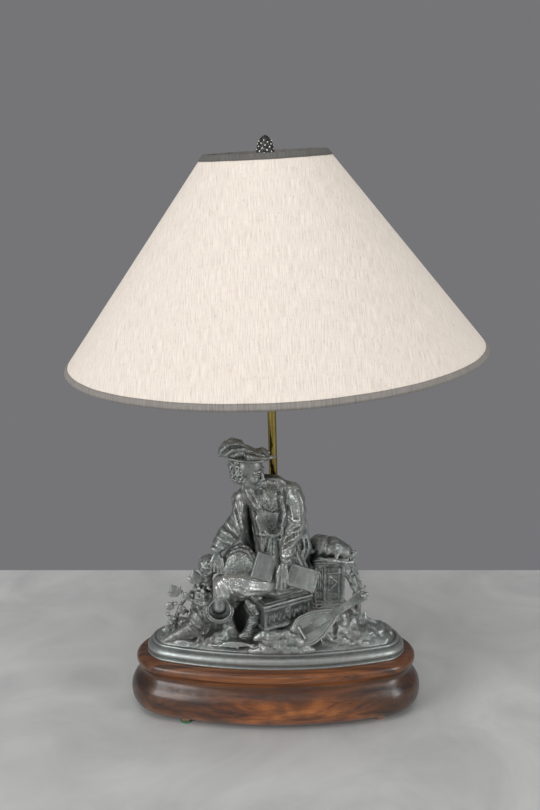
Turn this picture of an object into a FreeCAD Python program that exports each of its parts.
"""Figural table lamp: a cast white-metal group on an oval walnut plinth, with a brass stem behind the
seated figure, a medium-base turn-knob socket, a detachable harp, and a linen cone shade under a cone finial.

Millimetres, +Z up. The origin is on the table, at the middle of the plinth and under the middle of the
shade's rim. The stem leans to the left (towards -X) and the shade sits a little more askew than the stem.
"""

import FreeCAD, Part
import math
import os

V = FreeCAD.Vector
UP = V(0, 0, 1)

# ---------------------------------------------------------------- driving dimensions
# Overall
LAMP_HEIGHT = 660.4        # table to finial tip
STEM_LEAN = 1.39           # degrees, top towards -X
SHADE_TILT = 3.18          # degrees, top towards -X

# Feet and walnut plinth, an oval of four arcs: the lip's half sizes and end radius
LIP_HALF_LENGTH = 165.3
LIP_HALF_DEPTH = 66.0
LIP_END_RADIUS = 47.0
FOOT_HEIGHT = 7.0
FOOT_RADIUS = 7.0
FOOT_PLACES = {            # inwards from the lip's ends and sides
    "front_left": (60.8 - LIP_HALF_LENGTH, 22.0 - LIP_HALF_DEPTH),
    "front_right": (LIP_HALF_LENGTH - 44.3, 28.5 - LIP_HALF_DEPTH),
    "rear_left": (55.3 - LIP_HALF_LENGTH, LIP_HALF_DEPTH - 23.0),
    "rear_right": (LIP_HALF_LENGTH - 52.3, LIP_HALF_DEPTH - 24.0),
}
FELT_THICKNESS = 1.6
WOOD_HEIGHT = 62.5
RECESS_RADIUS = 30.0
RECESS_DEPTH = 17.0
CORD_BORE = 3.6            # radius
BUSHING_WALL = 1.4
BUSHING_LENGTH = 16.0
BUSHING_FLANGE = 2.0
BUSHING_SINK = 3.0         # below the plinth's widest face
CORD_INLET_Z = 17.0
PLINTH_SWELL = 7.0         # of the foot, outside the lip

# Cast terrace
TERRACE_INSET = 13.3       # its flange inside the lip's outline
TERRACE_MOULDING = 16.5
MOUND_HEIGHT = 36.0        # above the moulding
GROUP_LEVEL = 122.0        # of the mound's top in the heights below that place the figure and its props
CASTING_WALL = 6.0
SCREW_X = 78.0
SCREW_RADIUS = 2.4
SCREW_HEAD_RADIUS = 4.6
SCREW_HEAD_HEIGHT = 3.0
SCREW_COUNTERBORE = 16.0
SCREW_BITE = 9.0
BOSS_RADIUS = 6.5

# Stem and fasteners
TUBE_RADIUS = 4.7625
TUBE_BORE = 3.6            # radius
THREAD_CLEARANCE = 0.05
NUT_WALL = 2.3875          # from the tube to a flat
NUT_THICKNESS = 4.0
WASHER_RADIUS = 16.0
WASHER_THICKNESS = 1.6
SEAT_RING_WALL = 4.7375
SEAT_RING_HEIGHT = 5.0
LEAN_GAP = 0.4             # under a flat ring or washer that leans with the stem

# Socket, bulb
CAP_NECK_WALL = 2.7375     # round the tube
CAP_HEIGHT = 20.0
SHELL_HEIGHT = 44.0
BRASS_WALL = 0.6
LINER_WALL = 0.7
SCREW_BORE = 13.35         # radius of the lamp holder's screw shell
SCREW_WALL = 0.5
SHELL_ROOM = 2.95          # from the screw shell to the brass shell's outside
BULB_CAP_CLEARANCE = 0.25
BULB_CAP_LENGTH = 22.0
BULB_RADIUS = 30.0
BULB_NECK_LAP = 0.5        # of the glass outside the bulb's cap
BULB_GLASS_LENGTH = 84.0
BULB_GLASS_WALL = 0.9
KNOB_RADIUS = 6.5
KNOB_LENGTH = 12.0
KNOB_CHAMFER = 1.2
KNOB_FLUTES = 12
KNOB_FLUTE_RADIUS = 0.9
KNOB_SHAFT_RADIUS = 1.6
KNOB_REACH = 7.0           # shell to the knob's near face
RUNNING_CLEARANCE = 0.05

# Harp
HARP_HEIGHT = 203.0
HARP_WIRE = 1.7            # radius
HARP_HALF_FOOT = 27.0
HARP_LEG = 40.0
HARP_FLARE_RADIUS = 60.0
HARP_FLARE_ANGLE = 25.0
HARP_CLOSE_ANGLE = 40.0
HARP_SHOULDER_RADIUS = 14.0
SADDLE_THICKNESS = 1.6
SADDLE_WIDTH = 12.0
SADDLE_RISE = 14.0
FERRULE_RADIUS = 3.4
FERRULE_LENGTH = 17.0
FERRULE_LAP = 7.0          # over the peg
SEAT_PLATE_RADIUS = 8.0
SEAT_PLATE_THICKNESS = 2.0
STUD_RADIUS = 3.1

# Shade
RIM_RADIUS = 228.6
TOP_RING_RADIUS = 65.35
SHADE_HEIGHT = 213.1
SKIN_THICKNESS = 0.9
TRIM_WIDTH = 9.5
TRIM_THICKNESS = 0.5
GLUE_LINE = 0.15           # between trim and linen
RING_WIRE = 1.5            # radius
WIRE_GAP = 0.1             # of glue between the rings and the skin
SPIDER_DROP = 12.7
SPIDER_ARM_RADIUS = 1.5
HUB_RADIUS = 11.0
HUB_THICKNESS = 1.6
HUB_CLEARANCE = 0.65       # round the stud
HUB_GAP = 0.35             # between the hub and what it lies on, for its tilt

# Finial
FINIAL_HEIGHT = 29.0
FINIAL_RADIUS = 10.4
FINIAL_NECK_WALL = 1.2     # round the bush
FINIAL_NECK_HEIGHT = 4.0
FINIAL_INSERT_WALL = 1.3   # round the stud
THREAD_ENGAGED = 8.0

# ---------------------------------------------------------------- radii of what fits round another piece
NUT_ACROSS_FLATS = 2 * (TUBE_RADIUS + NUT_WALL)
SEAT_RING_RADIUS = TUBE_RADIUS + SEAT_RING_WALL
CAP_RADIUS = SCREW_BORE + SCREW_WALL + SHELL_ROOM
BULB_CAP_RADIUS = SCREW_BORE - BULB_CAP_CLEARANCE
BULB_NECK_RADIUS = BULB_CAP_RADIUS + BULB_NECK_LAP
HUB_BORE = STUD_RADIUS + HUB_CLEARANCE
FINIAL_INSERT_RADIUS = STUD_RADIUS + FINIAL_INSERT_WALL
FINIAL_NECK_RADIUS = FINIAL_INSERT_RADIUS + FINIAL_NECK_WALL

# ---------------------------------------------------------------- heights worked out from them
WOOD_TOP = FOOT_HEIGHT + WOOD_HEIGHT
MOULDING_TOP = WOOD_TOP + TERRACE_MOULDING
MOUND_TOP = MOULDING_TOP + MOUND_HEIGHT
FINIAL_BASE = LAMP_HEIGHT - FINIAL_HEIGHT
HUB_TOP = FINIAL_BASE - HUB_GAP
SEAT_TOP = HUB_TOP - HUB_THICKNESS - HUB_GAP
SADDLE_LEVEL = SEAT_TOP - HARP_HEIGHT
TUBE_TOP = SADDLE_LEVEL + SADDLE_THICKNESS + 7.0
SHADE_TOP = HUB_TOP - HUB_THICKNESS / 2 + SPIDER_DROP
CAP_BASE = SADDLE_LEVEL + SADDLE_THICKNESS
SHELL_BASE = CAP_BASE + CAP_HEIGHT
SHELL_TOP = SHELL_BASE + SHELL_HEIGHT
# The shade's rim is centred over the origin, so the stem's foot stands a little to the right.
LEAN = math.radians(STEM_LEAN)
TILT = math.radians(SHADE_TILT)
STEM_FOOT_X = SHADE_TOP * math.tan(LEAN) - SHADE_HEIGHT * math.sin(TILT)


# ---------------------------------------------------------------- helpers
def export(name, shape):
    """Writes one named piece, its solids only, to its own file."""
    solids = shape.Solids
    piece = solids[0] if len(solids) == 1 else Part.makeCompound(solids)
    piece.exportStep("parts/" + name + ".step")
    sound = all(s.isValid() for s in solids)
    print(f"{name:22s} solids {len(solids)} volume {piece.Volume / 1000:9.2f} cm3 valid {sound}")


def disc(radius, low, high, x=0.0, y=0.0):
    """An upright cylinder from one height to another."""
    return Part.makeCylinder(radius, high - low, V(x, y, low))


def tube(outer, inner, low, high):
    return disc(outer, low, high).cut(disc(inner, low - 1, high + 1))


def turned(profile):
    """A solid of revolution about Z from (radius, height) points."""
    points = [V(r, 0, z) for r, z in profile]
    face = Part.Face(Part.makePolygon(points + points[:1]))
    return face.revolve(V(0, 0, 0), UP, 360)


def on_stem(shape):
    """Leans a piece that was made upright on the Z axis with the stem."""
    placed = shape.copy()
    placed.rotate(V(0, 0, 0), V(0, 1, 0), -STEM_LEAN)
    placed.translate(V(STEM_FOOT_X, 0, 0))
    return placed


def on_shade(shape):
    """Tilts a piece of the shade about the spider's hub, where the stem carries it."""
    placed = shape.copy()
    hub = HUB_TOP - HUB_THICKNESS / 2
    placed.translate(V(0, 0, -hub))
    placed.rotate(V(0, 0, 0), V(0, 1, 0), -SHADE_TILT)
    placed.translate(V(STEM_FOOT_X - hub * math.sin(LEAN), 0, hub * math.cos(LEAN)))
    return placed


def oval(offset, z):
    """The plinth's outline at a height, offset outwards: two end arcs and two side arcs."""
    a, b, r = LIP_HALF_LENGTH, LIP_HALF_DEPTH, LIP_END_RADIUS
    side = (a * a + b * b - 2 * a * r) / (2 * (b - r))
    cx, cy = a - r, side - b
    reach = math.hypot(cx, cy)
    ux, uy = cx / reach, cy / reach
    radius = side + offset

    def join(sx, sy):
        """Where an end arc meets a side arc, on the line through their centres."""
        return V(sx * ux * radius, sy * (uy * radius - cy), z)

    front, back = V(0, -b - offset, z), V(0, b + offset, z)
    right, left = V(a + offset, 0, z), V(-a - offset, 0, z)
    edges = [
        Part.Arc(join(-1, -1), front, join(1, -1)),
        Part.Arc(join(1, -1), right, join(1, 1)),
        Part.Arc(join(1, 1), back, join(-1, 1)),
        Part.Arc(join(-1, 1), left, join(-1, -1)),
    ]
    return Part.Wire([e.toShape() for e in edges])


def ellipse(a, b, z, x=0.0, y=0.0):
    curve = Part.Ellipse(V(x, y, z), max(a, b), min(a, b))
    edge = curve.toShape()
    if b > a:
        edge.rotate(V(x, y, z), UP, 90)
    return Part.Wire([edge])


def loft(wires, ruled=False):
    return Part.makeLoft(wires, True, ruled)


def ball(at, radius):
    return Part.makeSphere(radius, V(*at))


def limb(points):
    """A rounded limb through (x, y, z, radius) stations: balls joined by tapered runs."""
    pieces = []
    for x, y, z, r in points:
        pieces.append(ball((x, y, z), r))
    for p, q in zip(points, points[1:]):
        a, b = V(*p[:3]), V(*q[:3])
        d = b - a
        # The cone touches both balls along circles, so that the skin has no steps.
        lean = (p[3] - q[3]) / d.Length
        c = math.sqrt(1 - lean * lean)
        start = a + d * (p[3] * lean / d.Length)
        end = b + d * (q[3] * lean / d.Length)
        r1, r2 = p[3] * c, q[3] * c
        if abs(r1 - r2) < 1e-3:
            pieces.append(Part.makeCylinder(r1, (end - start).Length, start, d))
        else:
            pieces.append(Part.makeCone(r1, r2, (end - start).Length, start, d))
    return pieces[0].fuse(pieces[1:]).removeSplitter()


def block(length, depth, height, at, turn=0.0, tip=0.0):
    """A box centred on a point, turned about Z and tipped about its own length."""
    box = Part.makeBox(length, depth, height, V(-length / 2, -depth / 2, -height / 2))
    box.rotate(V(0, 0, 0), V(1, 0, 0), tip)
    box.rotate(V(0, 0, 0), UP, turn)
    box.translate(V(*at))
    return box


def largest(shape):
    """The biggest solid of a cut, without the crumbs that a cut can leave."""
    return max(shape.Solids, key=lambda s: s.Volume)


# ---------------------------------------------------------------- walnut plinth and its fittings
def wood_base():
    """Ogee plinth: a swelling foot, a waist and a rounded lip, with a recess and a cord way below."""
    foot, top, swell = FOOT_HEIGHT, WOOD_TOP, PLINTH_SWELL
    section = [
        (-1.0, foot), (swell - 3.4, foot + 4.0), (swell - 0.6, foot + 11.0), (swell, foot + 17.0),
        (swell - 1.0, foot + 25.0), (2.2, foot + 32.5), (-2.6, foot + 38.0), (-5.4, foot + 43.0),
        (-4.6, foot + 48.0), (-1.2, foot + 52.0), (0.0, foot + 56.0), (-1.4, top - 2.4), (-4.4, top),
    ]
    body = loft([oval(d, z) for d, z in section])
    recess = disc(RECESS_RADIUS, foot - 1, foot + RECESS_DEPTH, STEM_FOOT_X)
    bore = on_stem(disc(TUBE_RADIUS + LEAN_GAP, 0, top + 20))
    way = inlet_run(CORD_BORE + BUSHING_WALL + THREAD_CLEARANCE, RECESS_RADIUS - 6.0, inlet_seat() + 1.0)
    spot = inlet_run(CORD_BORE + BUSHING_WALL + BUSHING_FLANGE + 0.8, inlet_seat(), inlet_seat() + 20.0)
    return body.cut([recess, bore, way, spot] + screw_holes())


def inlet_seat():
    """How far back the cord bushing's flange seats, in a spot face behind the plinth."""
    return LIP_HALF_DEPTH + PLINTH_SWELL - BUSHING_SINK


def inlet_run(radius, near, far):
    """A level cylinder on the cord inlet's axis, from one distance back to another."""
    return Part.makeCylinder(radius, far - near, V(STEM_FOOT_X, near, CORD_INLET_Z), V(0, 1, 0))


def cord_bushing():
    """Flanged brass bushing that lines the cord hole at the back of the plinth."""
    outer, seat = CORD_BORE + BUSHING_WALL, inlet_seat()
    body = inlet_run(outer, seat - BUSHING_LENGTH, seat)
    flange = inlet_run(outer + BUSHING_FLANGE, seat, seat + BUSHING_FLANGE)
    return body.fuse(flange).cut(inlet_run(CORD_BORE, seat - BUSHING_LENGTH - 1, seat + BUSHING_FLANGE + 1))


def screw_holes():
    """Counterbores and clearance holes under the plinth for the two screws that hold the casting."""
    holes = []
    for side in (-1, 1):
        holes.append(disc(SCREW_HEAD_RADIUS + 0.6, 0, FOOT_HEIGHT + SCREW_COUNTERBORE, side * SCREW_X))
        holes.append(disc(SCREW_RADIUS + 0.3, 0, WOOD_TOP + 1, side * SCREW_X))
    return holes


def terrace_screws():
    low = FOOT_HEIGHT + SCREW_COUNTERBORE - SCREW_HEAD_HEIGHT
    screws = []
    for side in (-1, 1):
        head = disc(SCREW_HEAD_RADIUS, low, low + SCREW_HEAD_HEIGHT, side * SCREW_X)
        shank = disc(SCREW_RADIUS, low, WOOD_TOP + SCREW_BITE, side * SCREW_X)
        slot = Part.makeBox(20, 1.0, 1.2, V(side * SCREW_X - 10, -0.5, low - 0.1))
        screws.append(head.fuse(shank).cut(slot))
    return Part.makeCompound(screws)


def foot(place):
    """A short stub glued under the plinth, widest at its middle; one stands on a felt pad."""
    low = FELT_THICKNESS if place == "front_left" else 0.0
    r, high = FOOT_RADIUS, FOOT_HEIGHT
    stub = turned([(0, low), (r * 0.78, low), (r, (low + high) / 2), (r * 0.86, high), (0, high)])
    stub.translate(V(*FOOT_PLACES[place], 0))
    return stub


def felt_pad():
    return disc(FOOT_RADIUS, 0, FELT_THICKNESS, *FOOT_PLACES["front_left"])


# ---------------------------------------------------------------- cast group
def mound(inset, drop):
    """The rocky mound as a smooth swell, or, set in and lowered, the hollow inside it."""
    a, b = LIP_HALF_LENGTH - 21.0 - inset, LIP_HALF_DEPTH - 21.0 - inset
    h, z = MOUND_HEIGHT, MOULDING_TOP - drop
    # Each level: share of the height, cut from the half length, cut from the half depth, shift back.
    levels = [(0.0, 0.0, 0.0, 0.0), (0.14, 4.0, 1.0, 0.0), (0.38, 15.0, 5.0, 1.0), (0.68, 31.0, 12.0, 2.5),
              (0.92, 45.0, 18.0, 3.5), (1.0, 62.0, 22.0, 4.0)]
    rings = [ellipse(a - da, b - db, z + k * h, 0, back) for k, da, db, back in levels]
    rings.insert(0, ellipse(a, b, z - 2.0))
    return loft(rings)


def terrace():
    """Moulded oval flange with the mound that carries the figure: a hollow casting with bosses inside."""
    edge, z0, z1 = -TERRACE_INSET, WOOD_TOP, MOULDING_TOP
    flange = loft([oval(edge, z0), oval(edge, z0 + 3.0)], True)
    bead = loft([oval(edge - 2.2, z0 + 3.0), oval(edge - 1.0, z0 + 6.0), oval(edge - 1.2, z0 + 10.0),
                 oval(edge - 3.2, z0 + 13.5), oval(edge - 6.4, z1)])
    body = flange.fuse([bead, mound(0.0, 0.0)]).removeSplitter()
    inside = edge - 6.4 - CASTING_WALL
    well = loft([oval(inside, z0 - 1.0), oval(inside, z1 - CASTING_WALL)], True)
    hollow = well.fuse(mound(CASTING_WALL, CASTING_WALL))
    bosses = [disc(BOSS_RADIUS, z0, z1, side * SCREW_X) for side in (-1, 1)]
    bosses.append(disc(SEAT_RING_RADIUS + 3.0, z0, MOUND_TOP - 1.0, STEM_FOOT_X / 2))
    body = body.cut(hollow.cut(bosses))
    holes = [on_stem(disc(TUBE_RADIUS + 0.3, 0, MOUND_TOP + 40))]
    for side in (-1, 1):
        holes.append(disc(SCREW_RADIUS + THREAD_CLEARANCE, 0, WOOD_TOP + SCREW_BITE + 0.5, side * SCREW_X))
    return largest(body.cut(holes))


# The figure's stations, (x, y, z, radius). Its right side is on the viewer's left.
SHOULDERS = [(-36.0, -20.0, 264.0, 10.5), (-12.0, -19.0, 270.0, 13.0), (14.0, -18.5, 273.0, 12.5)]
ARM_RIGHT = [(-38.0, -22.0, 265.0, 10.0), (-48.0, -27.0, 246.0, 11.0), (-57.0, -32.0, 229.0, 13.0),
             (-62.0, -37.0, 213.0, 8.5), (-64.0, -41.0, 197.0, 6.5), (-63.0, -43.0, 187.0, 5.5)]
ARM_LEFT = [(15.0, -20.0, 273.0, 12.5), (23.0, -22.0, 251.0, 12.0), (22.0, -27.0, 232.0, 12.0),
            (14.0, -35.0, 215.0, 10.0), (9.0, -40.0, 203.0, 7.5), (7.0, -45.0, 186.0, 5.5),
            (5.0, -48.0, 171.0, 4.0)]
LEG_RIGHT = [(4.0, -33.0, 168.0, 14.0), (-29.0, -40.0, 168.0, 12.5), (-58.0, -43.0, 167.0, 12.0),
             (-64.0, -43.0, 147.0, 14.5), (-84.0, -41.0, 132.0, 9.0), (-95.0, -41.0, 121.0, 7.5),
             (-105.0, -41.0, 116.0, 6.5), (-120.0, -41.0, 111.0, 4.5)]
LEG_LEFT = [(-20.0, -24.0, 143.0, 10.0), (-23.0, -26.0, 133.0, 9.0), (-28.0, -30.0, 118.0, 6.0),
            (-30.0, -33.0, 108.0, 5.0), (-38.0, -37.0, 104.0, 3.6)]
FUR_ROBE = [(-51.0, -30.0, 193.0, 12.0), (-36.0, -28.0, 196.0, 14.0), (-23.0, -30.0, 191.0, 12.0)]
HEAD = (-30.0, -24.0, 300.0)
GLOBE = (-75.5, -28.0, 189.0)
GLOBE_RADIUS = 12.5


def torso():
    """Body in a long open coat, from the seat to the shoulders."""
    # Each level: height, middle from left to right, half width, half depth.
    levels = [(148.0, 10.0, 33.0, 20.0), (175.0, 8.0, 33.0, 21.0), (200.0, 5.0, 29.0, 19.5),
              (225.0, -3.0, 25.0, 18.0), (245.0, -6.0, 25.0, 17.0), (260.0, -9.0, 25.0, 16.0),
              (272.0, -13.0, 21.0, 13.0), (281.0, -20.0, 11.0, 10.0)]
    trunk = loft([ellipse(w, d, z, x, -23.0) for z, x, w, d in levels])
    return trunk.fuse(limb(SHOULDERS))


def hat():
    """Broad soft hat: a wide brim raised at the left by a plume, and a low crown."""
    x, y, z = HEAD
    brim = Part.makeSphere(1.0)
    stretch = FreeCAD.Matrix()
    stretch.scale(V(31.0, 24.0, 4.6))
    brim = brim.transformGeometry(stretch)
    brim.rotate(V(0, 0, 0), V(0, 1, 0), 5.0)
    brim.translate(V(x - 4.0, y + 2.0, z + 17.0))
    crown = limb([(x - 17.0, y + 3.0, z + 22.0, 10.5), (x + 2.0, y + 3.0, z + 21.0, 8.5)])
    plume = limb([(x - 31.0, y - 1.0, z + 20.0, 7.0), (x - 34.0, y - 3.0, z + 12.0, 5.0)])
    return brim.fuse([crown, plume])


def head():
    """Head in profile to the right, with curls behind, over a short neck."""
    x, y, z = HEAD
    skull = ball((x, y, z), 14.5)
    curls = limb([(x - 12.0, y + 2.0, z + 2.0, 11.0), (x - 14.0, y + 2.0, z - 9.0, 8.0)])
    jaw = limb([(x + 7.0, y - 3.0, z - 4.0, 9.5), (x + 11.0, y - 5.0, z - 11.0, 5.0)])
    neck = limb([(x + 4.0, y, z - 12.0, 9.0), (x + 8.0, y + 1.0, z - 24.0, 9.5)])
    return skull.fuse([curls, jaw, neck])


CHEST_TURN = 30.0
CHEST_SIZE = (60.0, 32.0, 33.0)
CHEST_LID = 9.5
CHEST_AT = (5.5, -16.5, 131.5)


def seat_chest():
    """Low chest that the figure sits on, turned away to the right, with a two-step lid."""
    x, y, z = CHEST_AT
    length, depth, height = CHEST_SIZE
    top = z + height / 2
    step = CHEST_LID / 2
    box = block(length, depth, height, CHEST_AT, CHEST_TURN)
    lower = block(length + 3.0, depth + 3.0, step, (x, y, top + step / 2), CHEST_TURN)
    upper = block(length + 5.0, depth + 5.0, step, (x, y, top + step * 1.5), CHEST_TURN)
    return box.fuse([lower, upper])


BOOK_BOARD = 3.4


def book_left_leaf():
    """Leaf of the open folio that lies on the fur."""
    return block(27.0, BOOK_BOARD, 27.0, (-10.0, -44.0, 192.5), 8.0, -17.0)


def book_right_leaf():
    """Leaf of the open folio that hangs over the coat to the right."""
    return block(31.0, BOOK_BOARD, 24.0, (30.0, -41.0, 176.0), 12.0, -17.0)


PEDESTAL_AT = (62.0, 6.0)
PEDESTAL_TURN = 4.0
PEDESTAL_WIDTH = 38.0
PEDESTAL_DEPTH = 22.0
PEDESTAL_FOOT = 116.0
PEDESTAL_TOP = 187.0


def stone_pedestal():
    """Square stone pedestal behind the seat, with a base course and a cap."""
    x, y = PEDESTAL_AT
    width, depth, low, high = PEDESTAL_WIDTH, PEDESTAL_DEPTH, PEDESTAL_FOOT, PEDESTAL_TOP
    shaft = block(width, depth, high - low, (x, y, (low + high) / 2), PEDESTAL_TURN)
    cap = block(width + 5, depth + 5, 6.0, (x, y, high - 3.0), PEDESTAL_TURN)
    course = block(width + 4, depth + 4, 12.0, (x, y, low + 6.0), PEDESTAL_TURN)
    return shaft.fuse([cap, course])


def drapery():
    """Cloth bundled on the pedestal."""
    return limb([(51.0, 8.0, 200.0, 13.0), (67.0, 8.0, 197.0, 11.5), (80.0, 6.0, 191.0, 8.0)])


LUTE_TAIL = V(23.0, -38.0, 104.0)
LUTE_HEAD = V(101.5, -22.0, 149.0)
LUTE_NORMAL = V(-0.2, -0.85, 0.5)
LUTE_BELLY = 17.5
LUTE_DEPTH = 0.42          # of its half width
LUTE_NECK_WIDTH = 7.5
LUTE_NECK_THICKNESS = 3.6


def lute():
    """Pear-shaped lute leaning on the rocks, its neck up to the right."""
    along = (LUTE_HEAD - LUTE_TAIL).normalize()
    across = LUTE_NORMAL.cross(along).normalize()
    face = along.cross(across)
    r, length = LUTE_BELLY, (LUTE_HEAD - LUTE_TAIL).Length
    side = Part.BSplineCurve()
    pear = [(0.0, 0.0), (0.3, 0.72), (1.0, 1.0), (1.9, 0.72), (3.0, 0.0)]
    stations = [V(x * r, y * r, 0) for x, y in pear]
    side.interpolate(stations, InitialTangent=V(0, 1, 0), FinalTangent=V(1, -0.6, 0))
    outline = Part.Wire([side.toShape(), Part.makeLine(V(3.0 * r, 0, 0), V(0, 0, 0))])
    stretch = FreeCAD.Matrix()
    stretch.scale(V(1.0, 1.0, LUTE_DEPTH))
    belly = Part.Face(outline).revolve(V(0, 0, 0), V(1, 0, 0), 360).transformGeometry(stretch)
    width, thickness = LUTE_NECK_WIDTH, LUTE_NECK_THICKNESS
    neck = Part.makeBox(length - 1.5 * r, width, thickness, V(1.5 * r, -width / 2, -thickness / 2))
    whole = belly.fuse(neck)
    whole.Placement = FreeCAD.Placement(FreeCAD.Matrix(
        along.x, across.x, face.x, LUTE_TAIL.x, along.y, across.y, face.y, LUTE_TAIL.y,
        along.z, across.z, face.z, LUTE_TAIL.z, 0, 0, 0, 1))
    return whole


def globe():
    """Ball on the rocks under the figure's right hand."""
    return ball(GLOBE, GLOBE_RADIUS)


def ivy_stump():
    """Broken stump under the globe, with the ivy that climbs it."""
    stump = limb([(-88.0, -26.0, 118.0, 12.0), (-87.0, -27.0, 140.0, 12.0), (-83.0, -27.0, 158.0, 11.0),
                  (-79.0, -27.0, 170.0, 8.0)])
    ivy = limb([(-96.0, -22.0, 159.0, 9.0), (-113.0, -24.0, 147.0, 9.0), (-114.0, -25.0, 129.0, 8.5),
                (-112.0, -24.0, 112.0, 8.0)])
    return stump.fuse(ivy)


def thorn_bush():
    """Twisted branches to the right of the pedestal."""
    return limb([(97.0, -4.0, 112.0, 7.0), (101.0, -5.0, 150.0, 4.5), (95.0, 0.0, 176.0, 5.0),
                 (89.0, 3.0, 192.0, 4.0)])


def cast_group():
    """Every cast piece, each cut back by the ones made before it, as soldered pieces meet."""
    order = [
        ("cast_terrace", terrace()), ("seat_chest", seat_chest()), ("stone_pedestal", stone_pedestal()),
        ("figure_torso", torso()), ("ivy_stump", ivy_stump()), ("globe", globe()),
        ("figure_leg_right", limb(LEG_RIGHT)), ("figure_leg_left", limb(LEG_LEFT)),
        ("fur_robe", limb(FUR_ROBE)), ("figure_head", head()), ("figure_hat", hat()),
        ("figure_arm_left", limb(ARM_LEFT)), ("figure_arm_right", limb(ARM_RIGHT)),
        ("book_left_leaf", book_left_leaf()), ("book_right_leaf", book_right_leaf()),
        ("drapery", drapery()), ("lute", lute()), ("thorn_bush", thorn_bush()),
    ]
    channel = on_stem(disc(TUBE_RADIUS + 0.3, 0, SADDLE_LEVEL))
    seat = on_stem(disc(SEAT_RING_RADIUS + 0.3, MOUND_TOP - 6, MOUND_TOP + SEAT_RING_HEIGHT + 1))
    made = []
    for name, shape in order:
        if name != "cast_terrace":
            shape.translate(V(0, 0, MOUND_TOP - GROUP_LEVEL))
        cutters = [other for _, other in made if other.BoundBox.intersect(shape.BoundBox)]
        if name != "cast_terrace":
            cutters += [c for c in (channel, seat) if c.BoundBox.intersect(shape.BoundBox)]
        made.append((name, largest(shape.cut(cutters)) if cutters else shape))
    return made


# ---------------------------------------------------------------- stem and its fasteners
def stem_tube():
    return tube(TUBE_RADIUS, TUBE_BORE, nut_level() - 4.0, TUBE_TOP)


def nut_level():
    """Underside of the nut in the plinth's recess, with its washer above it."""
    return FOOT_HEIGHT + RECESS_DEPTH - LEAN_GAP - WASHER_THICKNESS - NUT_THICKNESS


def hex_nut(low, thickness):
    corner = NUT_ACROSS_FLATS / math.sqrt(3)
    corners = [V(corner * math.cos(math.radians(60 * k)), corner * math.sin(math.radians(60 * k)), low)
               for k in range(7)]
    prism = Part.Face(Part.makePolygon(corners)).extrude(V(0, 0, thickness))
    return prism.cut(disc(TUBE_RADIUS + THREAD_CLEARANCE, low - 1, low + thickness + 1))


def washer(radius, low, thickness):
    return tube(radius, TUBE_RADIUS + THREAD_CLEARANCE, low, low + thickness)


# ---------------------------------------------------------------- harp and saddle
def harp():
    """Spring-wire loop whose straight legs stand in the saddle, with the seat plate and threaded stud."""
    flare, close = math.radians(HARP_FLARE_ANGLE), math.radians(HARP_CLOSE_ANGLE)
    foot_z = SADDLE_LEVEL + SADDLE_RISE
    top_z = SEAT_TOP - SEAT_PLATE_THICKNESS - HARP_WIRE
    leg_top = foot_z + HARP_LEG
    shoulder = HARP_SHOULDER_RADIUS * (1 - math.sin(close))
    rise = top_z - leg_top - HARP_FLARE_RADIUS * math.sin(flare) - shoulder
    bow = rise / (math.sin(flare) + math.sin(close))

    def arc(start, radius, a0, a1):
        """Tangent arc from heading a0 to a1, measured from straight up towards +X."""
        sign = 1 if a1 > a0 else -1
        cx = start.x + sign * radius * math.cos(a0)
        cz = start.z - sign * radius * math.sin(a0)

        def at(a):
            return V(cx - sign * radius * math.cos(a), 0, cz + sign * radius * math.sin(a))

        return Part.Arc(start, at((a0 + a1) / 2), at(a1)).toShape(), at(a1)

    foot_at, leg_at = V(HARP_HALF_FOOT, 0, foot_z), V(HARP_HALF_FOOT, 0, leg_top)
    edges = [Part.LineSegment(foot_at, leg_at).toShape()]
    e, p = arc(leg_at, HARP_FLARE_RADIUS, 0.0, flare)
    edges.append(e)
    e, p = arc(p, bow, flare, -close)
    edges.append(e)
    e, p = arc(p, HARP_SHOULDER_RADIUS, -close, -math.pi / 2)
    edges.append(e)
    edges.append(Part.LineSegment(p, V(0, 0, top_z)).toShape())
    half = Part.Wire(edges)
    section = Part.Wire([Part.Circle(foot_at, UP, HARP_WIRE).toShape()])
    right = half.makePipeShell([section], True, True)
    left = right.mirror(V(0, 0, 0), V(1, 0, 0))
    plate = disc(SEAT_PLATE_RADIUS, SEAT_TOP - SEAT_PLATE_THICKNESS - HARP_WIRE * 0.6, SEAT_TOP)
    stud = disc(STUD_RADIUS, SEAT_TOP - 1, HUB_TOP + HUB_GAP + THREAD_ENGAGED)
    half_width = HARP_HALF_FOOT + (HARP_FLARE_RADIUS + bow) * (1 - math.cos(flare))
    print(f"harp half width {half_width:.1f}, side radius {bow:.1f}, last run {p.x:.2f}")
    return right.fuse([left, plate, stud])


def harp_saddle():
    """Brass strap under the socket cap, with an upright peg at each end that the harp's leg stands on."""
    z, t = SADDLE_LEVEL, SADDLE_THICKNESS
    reach = HARP_HALF_FOOT
    strap = block(2 * reach + SADDLE_WIDTH, SADDLE_WIDTH, t, (0, 0, z + t / 2))
    pegs = [disc(HARP_WIRE, z, z + SADDLE_RISE, side * reach) for side in (-1, 1)]
    body = strap.fuse(pegs)
    return body.cut(disc(TUBE_RADIUS + THREAD_CLEARANCE, z - 1, z + t + 1))


def ferrule(side):
    """Brass sleeve that drops over the joint of harp leg and saddle, and slides up to free it."""
    low = SADDLE_LEVEL + SADDLE_RISE - FERRULE_LAP
    bore = HARP_WIRE + RUNNING_CLEARANCE
    sleeve = tube(FERRULE_RADIUS, bore, low, low + FERRULE_LENGTH)
    sleeve.translate(V(side * HARP_HALF_FOOT, 0, 0))
    return sleeve


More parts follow.
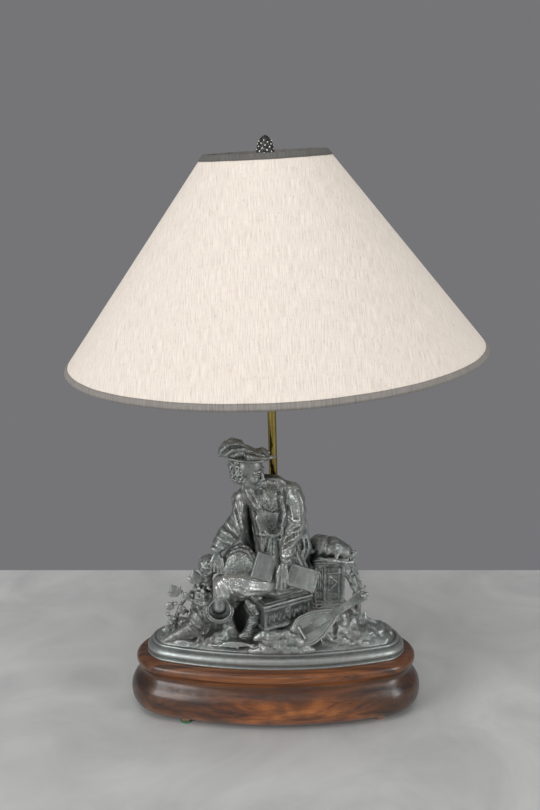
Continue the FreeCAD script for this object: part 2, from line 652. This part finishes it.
# ---------------------------------------------------------------- socket and bulb
def socket_cap():
    """Drawn brass cup with a threaded neck that the stem screws into."""
    z = CAP_BASE
    r = CAP_RADIUS
    w = BRASS_WALL
    high = z + CAP_HEIGHT
    throat = TUBE_RADIUS + CAP_NECK_WALL
    outer = turned([(0, z), (throat, z), (throat, z + 3), (r - 3, z + 7), (r, z + 12), (r, high), (0, high)])
    inner = turned([(0, z + 3.6), (throat, z + 3.6), (r - 3 - w, z + 7.8), (r - w, z + 12.4),
                    (r - w, high + 1), (0, high + 1)])
    neck = disc(TUBE_RADIUS + THREAD_CLEARANCE, z - 1, z + CAP_HEIGHT)
    return outer.cut([inner, neck])


def knob_height():
    return SHELL_BASE + 13.0


def socket_shell():
    """Drawn brass shell that pushes into the cap, with a round hole for the knob's shaft."""
    r = CAP_RADIUS - BRASS_WALL - 0.03
    shell = tube(r, r - BRASS_WALL, SHELL_BASE - 6.0, SHELL_TOP)
    bead = tube(r + 0.9, r - 0.2, SHELL_BASE + 0.1, SHELL_BASE + 1.6)
    lip = tube(r + 0.6, r - 0.2, SHELL_TOP - 1.2, SHELL_TOP)
    hole = Part.makeCylinder(KNOB_SHAFT_RADIUS + 0.6, 30, V(0, -5, knob_height()), V(0, -1, 0))
    return shell.fuse([bead, lip]).cut(hole)


def socket_liner():
    """Fibre sleeve between the brass shell and the live parts."""
    r = CAP_RADIUS - 2 * BRASS_WALL - 0.08
    sleeve = tube(r, r - LINER_WALL, SHELL_BASE - 4.0, SHELL_TOP - 1.0)
    hole = Part.makeCylinder(KNOB_SHAFT_RADIUS + 0.6, 30, V(0, -5, knob_height()), V(0, -1, 0))
    return sleeve.cut(hole)


def liner_bore():
    return CAP_RADIUS - 2 * BRASS_WALL - 0.08 - LINER_WALL


def socket_body():
    """Moulded interior: the switch block below and the collar that carries the screw shell."""
    r = liner_bore() - 0.05
    low, seat = SHELL_BASE - 2.0, knob_height() + 5.0
    core = disc(r, low, seat)
    bore = KNOB_SHAFT_RADIUS + RUNNING_CLEARANCE
    shaft_hole = Part.makeCylinder(bore, 30, V(0, -4, knob_height()), V(0, -1, 0))
    notches = [Part.makeBox(6, 8, 8, V(side * r - 3, -4, low - 1)) for side in (-1, 1)]
    return core.cut([shaft_hole] + notches)


def screw_shell():
    """Brass screw shell of the holder; its thread is drawn as a plain sleeve with a closed floor."""
    seat = knob_height() + 5.0
    sleeve = tube(SCREW_BORE + SCREW_WALL, SCREW_BORE, seat, SHELL_TOP - 1.5)
    floor = tube(SCREW_BORE + SCREW_WALL, 5.0, seat, seat + 0.6)
    return sleeve.fuse(floor)


def centre_contact():
    """Bent phosphor-bronze tongue at the middle of the holder's floor."""
    seat = knob_height() + 5.0
    return disc(3.6, seat, seat + 1.0).fuse(disc(2.2, seat + 1.0, seat + 2.2))


def terminal_screws():
    """The two wiring screws on the sides of the switch block."""
    screws = []
    r = liner_bore() - 0.05
    for side in (-1, 1):
        z = SHELL_BASE + 2.0
        head = Part.makeCylinder(2.2, 1.6, V(side * (r - 3.0), 0, z), V(side, 0, 0))
        screws.append(head)
    return Part.makeCompound(screws)


def switch_knob():
    """Turn knob: a fluted black barrel on a thin shaft through the shell."""
    z = knob_height()
    near = CAP_RADIUS + KNOB_REACH
    shaft = Part.makeCylinder(KNOB_SHAFT_RADIUS, near + 1 - 6.0, V(0, -6.0, z), V(0, -1, 0))
    barrel = Part.makeCylinder(KNOB_RADIUS, KNOB_LENGTH, V(0, -near, z), V(0, -1, 0))
    barrel = barrel.makeChamfer(KNOB_CHAMFER, [e for e in barrel.Edges if e.isClosed()])
    flutes = []
    for k in range(KNOB_FLUTES):
        a = 2 * math.pi * k / KNOB_FLUTES
        start = V(KNOB_RADIUS * math.cos(a), 1 - near, z + KNOB_RADIUS * math.sin(a))
        flutes.append(Part.makeCylinder(KNOB_FLUTE_RADIUS, KNOB_LENGTH + 2, start, V(0, -1, 0)))
    return barrel.cut(flutes).fuse(shaft)


def bulb_floor():
    """Height of the bulb's contact tip, resting on the centre contact."""
    return knob_height() + 5.0 + 2.2 + 0.02


def bulb_tip():
    z = bulb_floor()
    return turned([(0, z), (2.6, z), (4.4, z + 1.6), (4.4, z + 2.6), (0, z + 2.6)])


def bulb_cap():
    """The bulb's screw cap, its thread drawn as a plain barrel, over a black glass insulator."""
    z = bulb_floor() + 2.62
    r = BULB_CAP_RADIUS
    return turned([(0, z), (7.0, z), (r - 1.5, z + 3.2), (r - 0.3, z + 4.5), (r - 0.3, z + BULB_CAP_LENGTH),
                   (r, z + BULB_CAP_LENGTH), (r, z + BULB_CAP_LENGTH + 1.5), (0, z + BULB_CAP_LENGTH + 1.5)])


def bulb_profile(shrink):
    """Outline of the glass from the neck to the crown, as (radius, height) pairs."""
    z = bulb_floor() + 2.62 + BULB_CAP_LENGTH + 1.52
    neck, r, h = BULB_NECK_RADIUS - shrink, BULB_RADIUS - shrink, BULB_GLASS_LENGTH
    centre = z + h - BULB_RADIUS
    start = V(neck, 0, z)
    low = V(neck + 1.0, 0, z + 12)
    widest = V(r, 0, centre)
    crown = V(0, 0, centre + r)
    return start, low, widest, crown, centre, r


def bulb_glass():
    """Blown pear envelope, open at the neck where it is cemented into the cap."""
    def solid(shrink):
        start, low, widest, crown, centre, r = bulb_profile(shrink)
        side = Part.BSplineCurve()
        side.interpolate([start, low, V((low.x + widest.x) / 2 + 0.6, 0, (low.z + widest.z) / 2), widest],
                         InitialTangent=UP, FinalTangent=UP)
        dome = Part.Arc(widest, V(r * math.sin(math.pi / 4), 0, centre + r * math.sin(math.pi / 4)), crown)
        axis = Part.LineSegment(crown, V(0, 0, start.z))
        foot_line = Part.LineSegment(V(0, 0, start.z), start)
        wire = Part.Wire([c.toShape() for c in (side, dome, axis, foot_line)])
        return Part.Face(wire).revolve(V(0, 0, 0), UP, 360)

    return solid(0.0).cut(solid(BULB_GLASS_WALL))


# ---------------------------------------------------------------- shade
def shade_levels():
    """Heights of the shade's rim and top ring, on its own axis."""
    return SHADE_TOP - SHADE_HEIGHT, SHADE_TOP


def slant():
    """Unit vector down the shade's side, in (radius, height)."""
    low, high = shade_levels()
    dr, dz = RIM_RADIUS - TOP_RING_RADIUS, low - high
    length = math.hypot(dr, dz)
    return dr / length, dz / length


def cone_band(start, length, lift, thickness):
    """A conical band on the shade's side: from a distance down the slant, lifted off its outside."""
    sr, sz = slant()
    nr, nz = -sz, sr
    r0, z0 = TOP_RING_RADIUS, shade_levels()[1]

    def at(s, n):
        return (r0 + sr * s + nr * n, z0 + sz * s + nz * n)

    end, top = start + length, lift + thickness
    return turned([at(start, lift), at(end, lift), at(end, top), at(start, top)])


def slant_length():
    return math.hypot(RIM_RADIUS - TOP_RING_RADIUS, SHADE_HEIGHT)


def shade_skin():
    """Linen laminated to a stiff liner, rolled into a cone."""
    return cone_band(0.0, slant_length(), -skin_depth(), SKIN_THICKNESS)


def skin_depth():
    """From the trim's outside to the skin's inside."""
    return TRIM_THICKNESS + GLUE_LINE + SKIN_THICKNESS


def trim(start):
    """Tape glued over an edge, on the outside of the skin."""
    return cone_band(start, TRIM_WIDTH, -TRIM_THICKNESS, TRIM_THICKNESS)


def wire_ring(distance):
    """Round wire ring inside the skin, its centre a distance down the slant."""
    sr, sz = slant()
    nr, nz = -sz, sr
    depth = skin_depth() + RING_WIRE + WIRE_GAP
    r = TOP_RING_RADIUS + sr * distance - nr * depth
    z = shade_levels()[1] + sz * distance - nz * depth
    return Part.makeTorus(r, RING_WIRE, V(0, 0, z)), r, z


def spider():
    """Hub washer on three arms that drop from the top ring."""
    ring, ring_r, ring_z = wire_ring(RING_WIRE + 0.5)
    middle = HUB_TOP - HUB_THICKNESS / 2
    hub = disc(HUB_RADIUS, HUB_TOP - HUB_THICKNESS, HUB_TOP)
    arms = []
    for k in range(3):
        angle = math.radians(90 + 120 * k)
        c, s = math.cos(angle), math.sin(angle)
        runs = [(HUB_RADIUS - 1.0, middle), (ring_r - 9.0, ring_z - 0.5), (ring_r, ring_z)]
        arms.append(limb([(c * r, s * r, z, SPIDER_ARM_RADIUS) for r, z in runs]))
    slab = disc(HUB_RADIUS, HUB_TOP - HUB_THICKNESS - 3.0, HUB_TOP - HUB_THICKNESS)
    cover = disc(HUB_RADIUS, HUB_TOP, HUB_TOP + 3.0)
    bore = disc(HUB_BORE, HUB_TOP - 9, HUB_TOP + 9)
    return hub.fuse(arms).cut([slab, cover, bore]).fuse(ring)


# ---------------------------------------------------------------- finial
def finial_insert():
    """Threaded brass bush inside the finial's foot."""
    bore = STUD_RADIUS + RUNNING_CLEARANCE
    return tube(FINIAL_INSERT_RADIUS, bore, FINIAL_BASE, FINIAL_BASE + THREAD_ENGAGED + 1.0)


def finial_neck():
    """Turned collar under the cone."""
    z, r = FINIAL_BASE, FINIAL_NECK_RADIUS
    high = z + FINIAL_NECK_HEIGHT
    body = turned([(0, z), (r + 1.4, z), (r + 1.8, z + 1.2), (r, z + 2.2), (r + 0.6, high), (0, high)])
    return body.cut(disc(FINIAL_INSERT_RADIUS + THREAD_CLEARANCE, z - 1, z + 30))


def finial_cone():
    """Cast cone of overlapping scales, as its plain envelope."""
    z, r = FINIAL_BASE + FINIAL_NECK_HEIGHT, FINIAL_RADIUS
    h = LAMP_HEIGHT - z
    outline = [(0.72, 0.0), (0.97, 0.16), (1.0, 0.3), (0.86, 0.56), (0.5, 0.84), (0.0, 1.0)]
    points = [V(r * k, 0, z + h * level) for k, level in outline]
    side = Part.BSplineCurve()
    side.interpolate(points)
    middle = V(0, 0, z)
    wire = Part.Wire([side.toShape(), Part.makeLine(points[-1], middle), Part.makeLine(middle, points[0])])
    body = Part.Face(wire).revolve(V(0, 0, 0), UP, 360)
    return body.cut(disc(FINIAL_INSERT_RADIUS + THREAD_CLEARANCE, z - 5, FINIAL_BASE + THREAD_ENGAGED + 1.2))


# ---------------------------------------------------------------- the lamp
def build():
    os.makedirs("parts", exist_ok=True)
    export("wood_base", wood_base())
    export("terrace_screws", terrace_screws())
    for place in FOOT_PLACES:
        export("foot_" + place, foot(place))
    export("felt_pad", felt_pad())
    export("cord_bushing", cord_bushing())

    for name, shape in cast_group():
        export(name, shape)

    leaning = {
        "stem_tube": stem_tube(),
        "base_nut": hex_nut(nut_level(), NUT_THICKNESS),
        "base_washer": washer(WASHER_RADIUS, nut_level() + NUT_THICKNESS, WASHER_THICKNESS),
        "seat_ring": washer(SEAT_RING_RADIUS, MOUND_TOP + LEAN_GAP, SEAT_RING_HEIGHT),
        "saddle_nut": hex_nut(SADDLE_LEVEL - NUT_THICKNESS, NUT_THICKNESS),
        "harp_saddle": harp_saddle(),
        "harp": harp(),
        "ferrule_left": ferrule(-1),
        "ferrule_right": ferrule(1),
        "socket_cap": socket_cap(),
        "socket_shell": socket_shell(),
        "socket_liner": socket_liner(),
        "socket_body": socket_body(),
        "screw_shell": screw_shell(),
        "centre_contact": centre_contact(),
        "terminal_screws": terminal_screws(),
        "switch_knob": switch_knob(),
        "bulb_tip": bulb_tip(),
        "bulb_cap": bulb_cap(),
        "bulb_glass": bulb_glass(),
        "finial_insert": finial_insert(),
        "finial_neck": finial_neck(),
        "finial_cone": finial_cone(),
    }
    for name, shape in leaning.items():
        export(name, on_stem(shape))

    askew = {
        "shade_skin": shade_skin(),
        "shade_top_trim": trim(0.0),
        "shade_rim_trim": trim(slant_length() - TRIM_WIDTH),
        "shade_rim_wire": wire_ring(slant_length() - RING_WIRE - 0.5)[0],
        "spider": spider(),
    }
    for name, shape in askew.items():
        export(name, on_shade(shape))
    print("stem foot", round(STEM_FOOT_X, 3), "levels", [round(v, 2) for v in (
        WOOD_TOP, MOULDING_TOP, MOUND_TOP, SADDLE_LEVEL, SHELL_TOP, SEAT_TOP, HUB_TOP, FINIAL_BASE)])
    print("knob", round(knob_height(), 2), "bulb", round(bulb_floor(), 2))


build()
